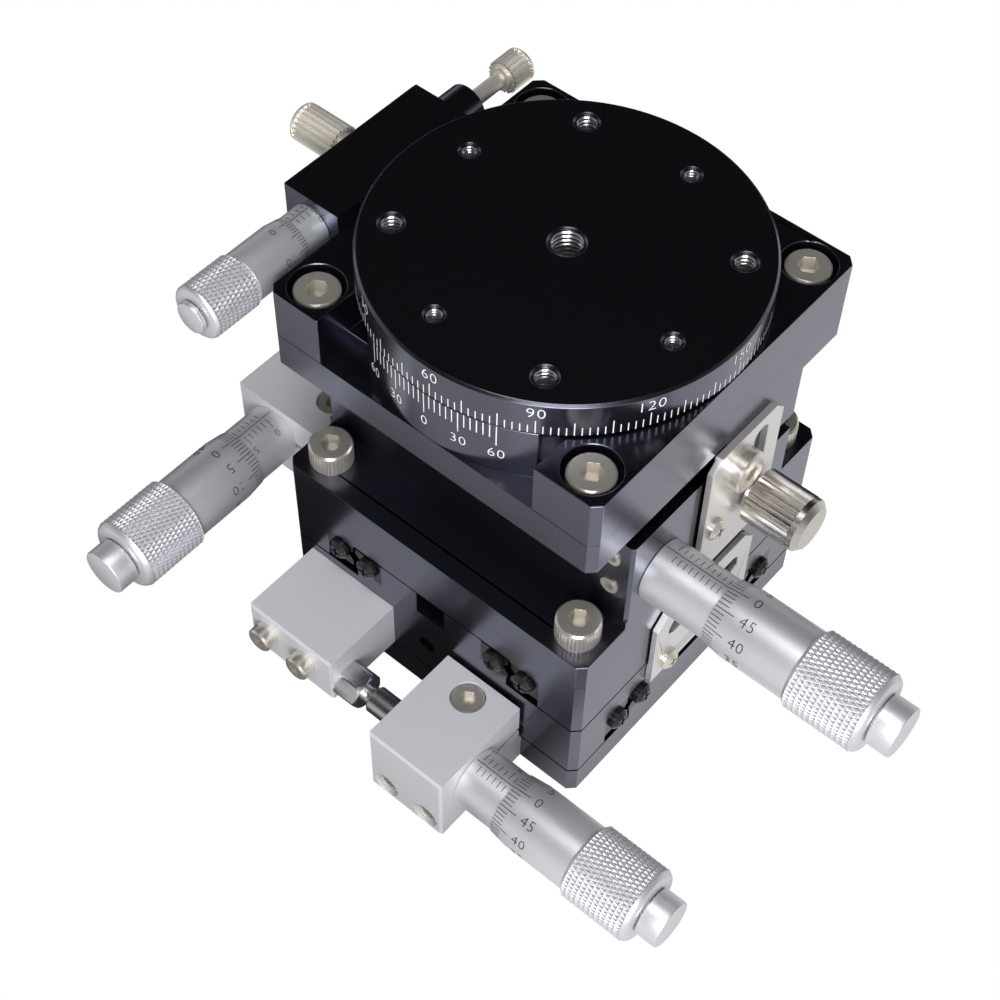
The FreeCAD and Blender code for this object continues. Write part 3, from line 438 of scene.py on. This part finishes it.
bigDrum = {
    "radius": 5.75 * mm, "coneLength": 3.3 * mm, "coneDrop": 0.42 * mm, "barrel": 14.5 * mm,
    "knurlRadius": 6.5 * mm, "knurlLength": 12.5 * mm, "knurlEdge": 0.45 * mm,
    "knurlEnd": 1.0 * mm, "knurlDepth": 0.24 * mm, "ridges": 54, "rows": 6.0,
    "capRadius": 4.1 * mm, "sleeveRadius": 5.15 * mm,
    "divisions": 50, "tick": 1.9 * mm, "longTick": 3.3 * mm, "tickWidth": 0.14 * mm,
    "digit": 1.75 * mm, "digitStart": 4.3 * mm, "numberEvery": 5,
    "sleeveTick": 1.25 * mm, "sleeveLong": 2.0 * mm, "sleeveGap": 0.55 * mm,
    "sleeveDigit": 1.25 * mm, "scaleRest": 6.0 * mm,
}
smallDrum = {
    "radius": 4.1 * mm, "coneLength": 2.4 * mm, "coneDrop": 0.38 * mm, "barrel": 10.4 * mm,
    "knurlRadius": 4.45 * mm, "knurlLength": 9.0 * mm, "knurlEdge": 0.35 * mm,
    "knurlEnd": 0.6 * mm, "knurlDepth": 0.19 * mm, "ridges": 40, "rows": 5.0,
    "capRadius": 2.6 * mm, "sleeveRadius": 3.6 * mm,
    "divisions": 50, "tick": 1.1 * mm, "longTick": 1.9 * mm, "tickWidth": 0.11 * mm,
    "digit": 1.3 * mm, "digitStart": 2.9 * mm, "numberEvery": 10,
    "sleeveTick": 0.9 * mm, "sleeveLong": 1.4 * mm, "sleeveGap": 0.4 * mm,
    "sleeveDigit": 0.9 * mm, "scaleRest": 3.0 * mm,
}
micrometers = [
    {"name": "x", "axis": (1, 0, 0), "drum": bigDrum, "datum": -2.0, "reading": 6.5 * mm,
     "turns": "x_drum", "stays": "base", "holder": "x_mic_bracket"},
    {"name": "y", "axis": (0, -1, 0), "drum": bigDrum, "datum": 3.0, "reading": 6.0 * mm,
     "turns": "y_drum", "stays": "x_carriage", "holder": "y_mic_bracket"},
    {"name": "z", "axis": (1, 0, 0), "drum": bigDrum, "datum": -6.0, "reading": 9.5 * mm,
     "turns": "z_drum", "stays": "y_carriage", "holder": "z_housing"},
    {"name": "r", "axis": (0, -1, 0), "drum": smallDrum, "datum": 3.0, "reading": 4.0 * mm,
     "turns": "r_drum", "stays": "z_lift", "holder": "r_block"},
]
drumTurning = {
    "play": 0.06 * mm, "inside": 2.0 * mm, "corner": 0.12 * mm, "shoulder": 0.1 * mm,
    "rimStart": 0.4, "rim": ((0.5, 0.3), (0.15, 0.65)),  # shares of the knurl's smooth end
    "grooveIn": 0.9 * mm, "grooveWide": 0.3 * mm, "capCorner": 0.1 * mm,
    "capRound": 0.35 * mm, "capMiddle": 0.3,
    "markStart": 0.05 * mm, "longEvery": 5, "fine": 8,
}
sleeveMarks = {
    "datumStart": 0.3 * mm, "datumWidth": 0.13 * mm, "width": 0.12 * mm, "longEvery": 5,
    "digitOut": 0.85, "digitBack": 0.35,
}


def nodeSpan(node, axis):
    # Centre of the node's box at its front end, and its length along the axis
    low, high = (Vector(c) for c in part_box(node))
    along = Vector(axis)
    reach = abs((high - low).dot(along)) / 2
    return (low + high) / 2 - along * reach, 2 * reach


def micrometerHead(spec):
    name, drum, axis = spec["name"], spec["drum"], spec["axis"]
    front, length = nodeSpan(name + "_thimble", axis)
    place = axisFrame(front, axis)
    chrome = materials["satin_chrome"]
    cut = drumTurning
    r, k, cap = drum["radius"], drum["knurlRadius"], drum["capRadius"]
    barrel, depth = drum["barrel"], drum["knurlDepth"]
    edge, last = drum["knurlEdge"], drum["knurlEnd"]
    knurlEnd = barrel + drum["knurlLength"]
    inner = drum["sleeveRadius"] + cut["play"]
    grooveEnd = knurlEnd + cut["grooveWide"]
    capRound = cut["capRound"]
    capMiddle = capRound * cut["capMiddle"]
    profile = [
        (cut["inside"], inner), (0, inner), (0, r - drum["coneDrop"]), (drum["coneLength"], r),
        (barrel - cut["corner"], r), (barrel, r - cut["corner"]),
        (barrel, k - edge - cut["shoulder"]), (barrel + edge, k - depth * 0.5),
        (barrel + edge, k - depth), (knurlEnd - last, k - depth),
        (knurlEnd - last, k - depth * cut["rimStart"]),
        *[(knurlEnd - last * back, k - last * down) for back, down in cut["rim"]],
        (knurlEnd, k - last),
        (knurlEnd, cap - cut["grooveIn"]), (grooveEnd, cap - cut["grooveIn"]),
        (grooveEnd, cap - cut["capCorner"]), (grooveEnd + cut["capCorner"], cap),
        (length - capRound, cap), (length - capMiddle, cap - capMiddle),
        (length, cap - capRound), (length, 0.0)]
    body = addObject(name + "Thimble", turnedMesh(name + "Thimble", profile, place), chrome,
                     spec["turns"])
    sharpen(body)
    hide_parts(name + "_thimble")
    band = ridgedBand(name + "Knurl", place, spec["turns"], chrome, k, barrel + edge,
                      drum["knurlLength"] - edge - last, depth, drum["ridges"], drum["rows"],
                      True, cut["fine"])
    zero = math.radians(spec["datum"]) * r
    step = 2 * math.pi * r / drum["divisions"]
    ruledScale(name + "DrumScale", place, spec["turns"], markBlack, radius=r, arcStart=zero,
               arcStep=-step, axialStart=cut["markStart"], width=drum["tickWidth"],
               short=drum["tick"], long=drum["longTick"], coneLength=drum["coneLength"],
               coneDrop=drum["coneDrop"], count=drum["divisions"], longEvery=cut["longEvery"])
    for number in range(0, drum["divisions"], drum["numberEvery"]):
        wrappedText("%sDigits%d" % (name, number), str(number), drum["digit"], place,
                    spec["turns"], markBlack, r, zero - number * step, drum["digitStart"], True)


def micrometerSleeve(spec):
    name, drum, axis = spec["name"], spec["drum"], spec["axis"]
    along = Vector(axis)
    start = nodeSpan(name + "_sleeve", axis)[0]
    front = nodeSpan(name + "_thimble", axis)[0]
    place = axisFrame(start, axis)
    marks = sleeveMarks
    r = drum["sleeveRadius"]
    faceAt = bracketFace(spec) - start.dot(along)
    frontAt = (front - start).dot(along)
    reach = frontAt + drum["scaleRest"]
    datum = math.radians(spec["datum"]) * r
    ruledScale(name + "Datum", place, spec["stays"], markBlack, radius=r, arcStart=datum,
               axialStart=faceAt + marks["datumStart"], width=marks["datumWidth"],
               short=reach - faceAt, long=reach - faceAt, count=1)
    gap, tick, longTick = drum["sleeveGap"], drum["sleeveTick"], drum["sleeveLong"]
    zeroAt = frontAt - spec["reading"]
    whole = int((reach - zeroAt) / mm) + 1
    ruledScale(name + "SleeveWhole", place, spec["stays"], markBlack, radius=r,
               arcStart=datum - gap, axialStart=zeroAt, axialStep=mm, width=marks["width"],
               short=-tick, long=-longTick, count=whole, longEvery=marks["longEvery"],
               aroundDrum=True)
    ruledScale(name + "SleeveHalf", place, spec["stays"], markBlack, radius=r,
               arcStart=datum + gap, axialStart=zeroAt + 0.5 * mm, axialStep=mm,
               width=marks["width"], short=tick, long=tick, count=whole - 1, aroundDrum=True)
    digit = drum["sleeveDigit"]
    arc = datum - gap - longTick - marks["digitOut"] * digit
    for number in range(0, whole, marks["longEvery"]):
        wrappedText("%sSleeveDigits%d" % (name, number), str(number), digit, place,
                    spec["stays"], markBlack, r, arc,
                    zeroAt + number * mm - marks["digitBack"] * digit, True)


def bracketFace(spec):
    # Station along the axis where the sleeve leaves its bracket
    along = Vector(spec["axis"])
    return max(Vector(c).dot(along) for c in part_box(spec["holder"]))


for spec in micrometers:
    micrometerHead(spec)
    micrometerSleeve(spec)
print("micrometer heads ready")


# Rotary table's scales and threads

mainScale = {
    "division": 2.0, "marks": 180, "zeroAt": -148.5, "short": 1.55 * mm, "long": 2.55 * mm,
    "longEvery": 5, "width": 0.16 * mm, "numberEvery": 30, "digit": 1.9 * mm,
    "digitUp": 3.0 * mm, "digitMiddle": 0.55, "rimUp": 0.25 * mm, "start": 0.02 * mm,
}
vernierScale = {
    "radius": 30.0 * mm, "division": 22.0 / 12, "marks": 25, "zeroAt": -90.6,
    "short": 2.6 * mm, "long": 4.0 * mm, "longEvery": 6, "width": 0.16 * mm,
    "digit": 1.8 * mm, "digitDown": 6.5 * mm, "digitMiddle": 0.4, "start": -0.02 * mm,
    "labels": {0: "60", 6: "30", 12: "0", 18: "30", 24: "60"},
}
threads = {
    "centre": {"radius": 2.5 * mm, "pitch": 0.8 * mm, "depth": 0.30 * mm, "length": 9.0 * mm},
    "large": {"radius": 1.65 * mm, "pitch": 0.7 * mm, "depth": 0.26 * mm, "length": 5.2 * mm,
              "circle": 25.0 * mm, "turn": 32.5},
    "small": {"radius": 1.25 * mm, "pitch": 0.5 * mm, "depth": 0.19 * mm, "length": 5.2 * mm,
              "circle": 23.0 * mm, "turn": 77.5},
}
threadCut = {"sunk": 0.3 * mm, "clear": 0.01 * mm, "fine": 6, "crest": 0.6}


def tableScales():
    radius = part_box("r_table")[1][0]
    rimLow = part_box("r_vernier")[1][2] + mainScale["rimUp"]
    place = axisFrame((0, 0, rimLow), (0, 0, 1))
    step = math.radians(mainScale["division"]) * radius
    zero = math.radians(mainScale["zeroAt"]) * radius
    ruledScale("mainScale", place, "r_disc", markWhite, radius=radius, arcStart=zero,
               arcStep=step, axialStart=mainScale["start"], width=mainScale["width"],
               short=mainScale["short"], long=mainScale["long"], count=mainScale["marks"],
               longEvery=mainScale["longEvery"])
    digit = mainScale["digit"]
    for label in range(0, 360, mainScale["numberEvery"]):
        arc = math.radians(mainScale["zeroAt"] + label) * radius
        wrappedText("mainDigits%d" % label, str(label), digit, place, "r_disc", markWhite,
                    radius, arc, mainScale["digitUp"] + digit * mainScale["digitMiddle"], False)


def vernierScales():
    radius = vernierScale["radius"]
    place = axisFrame((0, 0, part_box("r_vernier")[1][2]), (0, 0, 1))
    step = math.radians(vernierScale["division"]) * radius
    middle = math.radians(vernierScale["zeroAt"]) * radius
    first = middle - step * (vernierScale["marks"] // 2)
    ruledScale("vernierScale", place, "z_lift", markWhite, radius=radius, arcStart=first,
               arcStep=step, axialStart=vernierScale["start"], width=vernierScale["width"],
               short=-vernierScale["short"], long=-vernierScale["long"],
               count=vernierScale["marks"], longEvery=vernierScale["longEvery"])
    digit = vernierScale["digit"]
    for index, words in vernierScale["labels"].items():
        wrappedText("vernierDigits%d" % index, words, digit, place, "z_lift", markWhite, radius,
                    first + index * step,
                    digit * vernierScale["digitMiddle"] - vernierScale["digitDown"], False)


def holeThreads():
    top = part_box("r_table")[1][2]
    for name, spec in threads.items():
        places = [(0.0, 0.0)]
        if "circle" in spec:
            turns = [math.radians(spec["turn"] + 90 * k) for k in range(4)]
            places = [(spec["circle"] * math.cos(t), spec["circle"] * math.sin(t)) for t in turns]
        for k, (x, y) in enumerate(places):
            place = axisFrame((x, y, top - threadCut["sunk"] - spec["length"]), (0, 0, 1))
            band = ridgedBand("thread_%s_%d" % (name, k), place, "r_disc",
                              materials["ground_steel"], spec["radius"] - threadCut["clear"], 0.0,
                              spec["length"], spec["depth"], 1, spec["length"] / spec["pitch"],
                              False, threadCut["fine"], threadCut["crest"], False)


tableScales()
vernierScales()
holeThreads()
print("table scales and threads ready")


# Lock knobs and the ridged rims of the Z base's screws

lockKnobs = {"head": 11.0 * mm, "shank": 1.5 * mm, "ridges": 30, "depth": 0.5 * mm,
             "plain": 1.9 * mm, "finish": "nickel_knob"}
knobs = [
    {**lockKnobs, "node": "x_lock_knob", "axis": (0, 1, 0), "body": "x_lock"},
    {**lockKnobs, "node": "y_lock_knob", "axis": (1, 0, 0), "body": "y_lock"},
    {**lockKnobs, "node": "z_lock_knob", "axis": (1, 0, 0), "body": "z_lock"},
    # The R lock knob and the plunger screw take the lighter nickel copy, as painted light
    {"node": "r_lock_knob", "axis": (-1, 0, 0), "body": "r_clamp", "head": 9.5 * mm,
     "shank": 1.5 * mm, "ridges": 22, "depth": 0.5 * mm, "plain": 0.7 * mm,
     "finish": "nickelLitCopy"},
    {"node": "r_plunger_screw", "axis": (0, 1, 0), "body": "r_plug", "head": 5.5 * mm,
     "shank": 1.3 * mm, "ridges": 20, "depth": 0.42 * mm, "plain": 0.5 * mm,
     "finish": "nickelLitCopy"},
]
knobTurning = {"neck": 0.66, "neckEnd": 0.8 * mm, "ridgeStart": 0.9 * mm, "core": 1.1 * mm,
               "under": 0.05 * mm, "fine": 6}
screwRims = {
    "radius": 3.5 * mm, "height": 4.0 * mm, "ridges": 40, "depth": 0.16 * mm, "edge": 0.5 * mm,
    "spacing": 25.0 * mm, "seat": 0.25 * mm, "proud": 0.07 * mm, "rest": 0.2 * mm,
}


def lockKnob(spec):
    low, high = (Vector(c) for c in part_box(spec["node"]))
    along = Vector(spec["axis"])
    length = abs((high - low).dot(along))
    end = (low + high) / 2 + along * length / 2
    head, shank, depth, plain = (spec[key] for key in ("head", "shank", "depth", "plain"))
    place = axisFrame(end - along * head, spec["axis"])
    r = (high.z - low.z) / 2
    cut = knobTurning
    core, rim, neck = r - depth, r - cut["under"], r * cut["neck"]
    profile = [
        (head - length, 0.0), (head - length, shank), (0.0, shank), (0.0, neck),
        (cut["neckEnd"], neck), (cut["neckEnd"], core), (cut["core"], core),
        (head - plain, core), (head - plain, rim), (head - plain * 0.5, rim),
        (head, rim - plain * 0.5), (head, 0.0)]
    nickel = materials[spec["finish"]]
    made = addObject(spec["node"] + "_turned", turnedMesh(spec["node"], profile, place), nickel,
                     spec["body"])
    sharpen(made)
    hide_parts(spec["node"])
    band = ridgedBand(spec["node"] + "_ridges", place, spec["body"], nickel, r,
                      cut["ridgeStart"], head - plain - cut["ridgeStart"], depth,
                      spec["ridges"], 0.0, True, cut["fine"])


def screwRimBands():
    rims = screwRims
    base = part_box("z_base_plate")[1][2]
    spacing = rims["spacing"]
    for k, (x, y) in enumerate(((-1, -1), (1, -1), (1, 1), (-1, 1))):
        place = axisFrame((x * spacing, y * spacing, base + rims["seat"]), (0, 0, 1))
        band = ridgedBand("screwRim%d" % k, place, "y_carriage", materials["nickel_screw"],
                          rims["radius"] + rims["proud"], 0.0,
                          rims["height"] - rims["edge"] - rims["rest"], rims["depth"],
                          rims["ridges"])


for spec in knobs:
    lockKnob(spec)
screwRimBands()
print("knobs and screw rims ready")


# Finishes and softened edges on the CAD nodes

bevel = {"width": 0.18 * mm, "segments": 2, "angle": 32.0, "weld": 0.002 * mm,
         "narrow": {"r_table": 0.06 * mm}}


def sharpNodes(angle):
    # Edges steeper than the angle stay sharp, all else is smooth
    n = Nodes("Sharp Edges", True)
    turned = n.tree.nodes.new("GeometryNodeInputMeshEdgeAngle").outputs["Unsigned Angle"]
    steep = n.math("LESS_THAN", turned, math.radians(angle))
    faces = n.add("GeometryNodeSetShadeSmooth", Geometry=n.of("Geometry"))
    edges = n.add("GeometryNodeSetShadeSmooth", Geometry=faces.outputs[0], Shade_Smooth=steep)
    edges.domain = "EDGE"
    n.join(edges.outputs[0], n.result.inputs["Geometry"])
    return n.tree


sharpTree = sharpNodes(bevel["angle"])


def dressNodes():
    slots = {entry["node"]: entry["material_slot"] for entry in frame["record"]["subparts"]}
    for node, made in frame["nodes"].items():
        made.data.materials.clear()
        made.data.materials.append(materials[slots[node]])
        weld = made.modifiers.new("weld", "WELD")
        weld.merge_threshold = bevel["weld"]
        sharp = made.modifiers.new("sharpEdges", "NODES")
        sharp.node_group = sharpTree
        soft = made.modifiers.new("softEdges", "BEVEL")
        soft.width = bevel["narrow"].get(node, bevel["width"])
        soft.segments = bevel["segments"]
        soft.limit_method = "ANGLE"
        soft.angle_limit = math.radians(bevel["angle"])
        soft.harden_normals = True
        soft.use_clamp_overlap = True


dressNodes()
print("finishes ready")


# Studio: white to the camera, and to mirrors dark overhead with a bright horizon and floor

studio = {
    "horizon": 0.7, "overhead": 0.006, "fadeFrom": 0.05, "fadeTo": 0.5, "fill": 0.55,
    # floorShadow and shadowFade paint the object's shadow on the floor, as mirrors see it
    "floorShadow": 0.02, "floorFar": 0.6, "floorSide": 0.80, "floorPlain": 0.6, "floorSeen": 1.0,
    "shadowFade": (-0.082, -0.050), "sideFade": (0.016, 0.036),
    "floorReach": 4.0, "floorDown": 0.5 * mm,
}
lamps = {
    "keyLamp": {"place": (0.47, -0.62, 0.37), "power": 6.6, "size": 0.42},
    "topLamp": {"place": (0.06, -0.17, 0.65), "power": 1.5, "size": 0.3},
}
lampTarget = (0, 0, 0.04)
cameraView = {
    "place": (0.11376, -0.15276, 0.27576), "azimuth": 39.02, "elevation": 52.88, "roll": 1.66,
    "lens": 69.116, "sensor": 36.0, "shiftX": -0.00424, "shiftY": -0.00921, "near": 0.01,
}


def worldLight():
    world = bpy.data.worlds.new("studio")
    bpy.context.scene.world = world
    world.use_nodes = True
    tree = world.node_tree
    tree.nodes.clear()
    put, link = tree.nodes.new, tree.links.new
    path = put("ShaderNodeLightPath")
    where = put("ShaderNodeTexCoord")
    parts = put("ShaderNodeSeparateXYZ")
    link(where.outputs["Generated"], parts.inputs[0])
    ramp = put("ShaderNodeMapRange")
    ramp.interpolation_type = "SMOOTHSTEP"
    ramp.inputs["From Min"].default_value = studio["fadeFrom"]
    ramp.inputs["From Max"].default_value = studio["fadeTo"]
    ramp.inputs["To Min"].default_value = studio["horizon"]
    ramp.inputs["To Max"].default_value = studio["overhead"]
    link(parts.outputs["Z"], ramp.inputs["Value"])
    mirrored = put("ShaderNodeBackground")
    link(ramp.outputs["Result"], mirrored.inputs["Strength"])
    fill = put("ShaderNodeBackground")
    fill.inputs["Strength"].default_value = studio["fill"]
    white = put("ShaderNodeBackground")
    white.inputs["Color"].default_value = (1, 1, 1, 1)
    byGlossy = put("ShaderNodeMixShader")
    byCamera = put("ShaderNodeMixShader")
    out = put("ShaderNodeOutputWorld")
    link(path.outputs["Is Glossy Ray"], byGlossy.inputs["Fac"])
    link(fill.outputs[0], byGlossy.inputs[1])
    link(mirrored.outputs[0], byGlossy.inputs[2])
    link(path.outputs["Is Camera Ray"], byCamera.inputs["Fac"])
    link(byGlossy.outputs[0], byCamera.inputs[1])
    link(white.outputs[0], byCamera.inputs[2])
    link(byCamera.outputs[0], out.inputs["Surface"])


def floorPlane():
    # To mirrors it shows a painted shadow of the object by its front, and is brighter further out
    # and at its right
    paper = bpy.data.materials.new("paper")
    paper.use_nodes = True
    tree = paper.node_tree
    tree.nodes.clear()
    put, link = tree.nodes.new, tree.links.new
    where = put("ShaderNodeNewGeometry")
    parts = put("ShaderNodeSeparateXYZ")
    link(where.outputs["Position"], parts.inputs[0])

    def fade(value, ends, atLow, atHigh):
        node = put("ShaderNodeMapRange")
        node.interpolation_type = "SMOOTHSTEP"
        link(value, node.inputs["Value"])
        for name, number in zip(("From Min", "From Max", "To Min", "To Max"),
                                (*ends, atLow, atHigh)):
            node.inputs[name].default_value = number
        return node.outputs["Result"]

    def blend(factor, first, second):
        node = put("ShaderNodeMix")
        link(factor, node.inputs["Factor"])
        for name, value in (("A", first), ("B", second)):
            if isinstance(value, float):
                node.inputs[name].default_value = value
            else:
                link(value, node.inputs[name])
        return node.outputs["Result"]

    # Painted shadow: the floor is dark near the object's front and fades to brighter further out
    front = fade(parts.outputs["Y"], studio["shadowFade"], studio["floorFar"], studio["floorShadow"])
    side = fade(parts.outputs["X"], studio["sideFade"], 0.0, 1.0)
    mirrored = blend(side, front, studio["floorSide"])
    path = put("ShaderNodeLightPath")
    seen = blend(path.outputs["Is Glossy Ray"], studio["floorPlain"], mirrored)
    seen = blend(path.outputs["Is Camera Ray"], seen, studio["floorSeen"])
    glow = put("ShaderNodeEmission")
    link(seen, glow.inputs["Strength"])
    out = put("ShaderNodeOutputMaterial")
    link(glow.outputs[0], out.inputs["Surface"])
    mesh = bpy.data.meshes.new("floor")
    s, z = studio["floorReach"], -studio["floorDown"]
    mesh.from_pydata([(-s, -s, z), (s, -s, z), (s, s, z), (-s, s, z)], [], [(0, 1, 2, 3)])
    floor = bpy.data.objects.new("floor", mesh)
    bpy.context.scene.collection.objects.link(floor)
    mesh.materials.append(paper)


def lamp(name, place, power, size):
    light = bpy.data.lights.new(name, "AREA")
    light.energy = power
    light.size = size
    made = bpy.data.objects.new(name, light)
    made.location = place
    towards = Vector(lampTarget) - Vector(place)
    made.rotation_euler = towards.to_track_quat("-Z", "Y").to_euler()
    bpy.context.scene.collection.objects.link(made)


def setCamera():
    view = cameraView
    az, el, roll = (math.radians(view[key]) for key in ("azimuth", "elevation", "roll"))
    forward = Vector((-math.sin(az) * math.cos(el), math.cos(az) * math.cos(el), -math.sin(el)))
    right = Vector((math.cos(az), math.sin(az), 0))
    up = right.cross(forward)
    rolledRight = right * math.cos(roll) + up * math.sin(roll)
    rolledUp = up * math.cos(roll) - right * math.sin(roll)
    turn = Matrix((rolledRight, rolledUp, -forward)).transposed().to_4x4()
    data = bpy.data.cameras.new("photoCamera")
    data.lens = view["lens"]
    data.sensor_width = view["sensor"]
    data.shift_x = view["shiftX"]
    data.shift_y = view["shiftY"]
    data.clip_start = view["near"]
    made = bpy.data.objects.new("photoCamera", data)
    made.matrix_world = Matrix.Translation(view["place"]) @ turn
    bpy.context.scene.collection.objects.link(made)
    bpy.context.scene.camera = made


worldLight()
floorPlane()
for name, spec in lamps.items():
    lamp(name, **spec)
setCamera()
bpy.context.scene.view_settings.view_transform = "Standard"
print("studio ready")
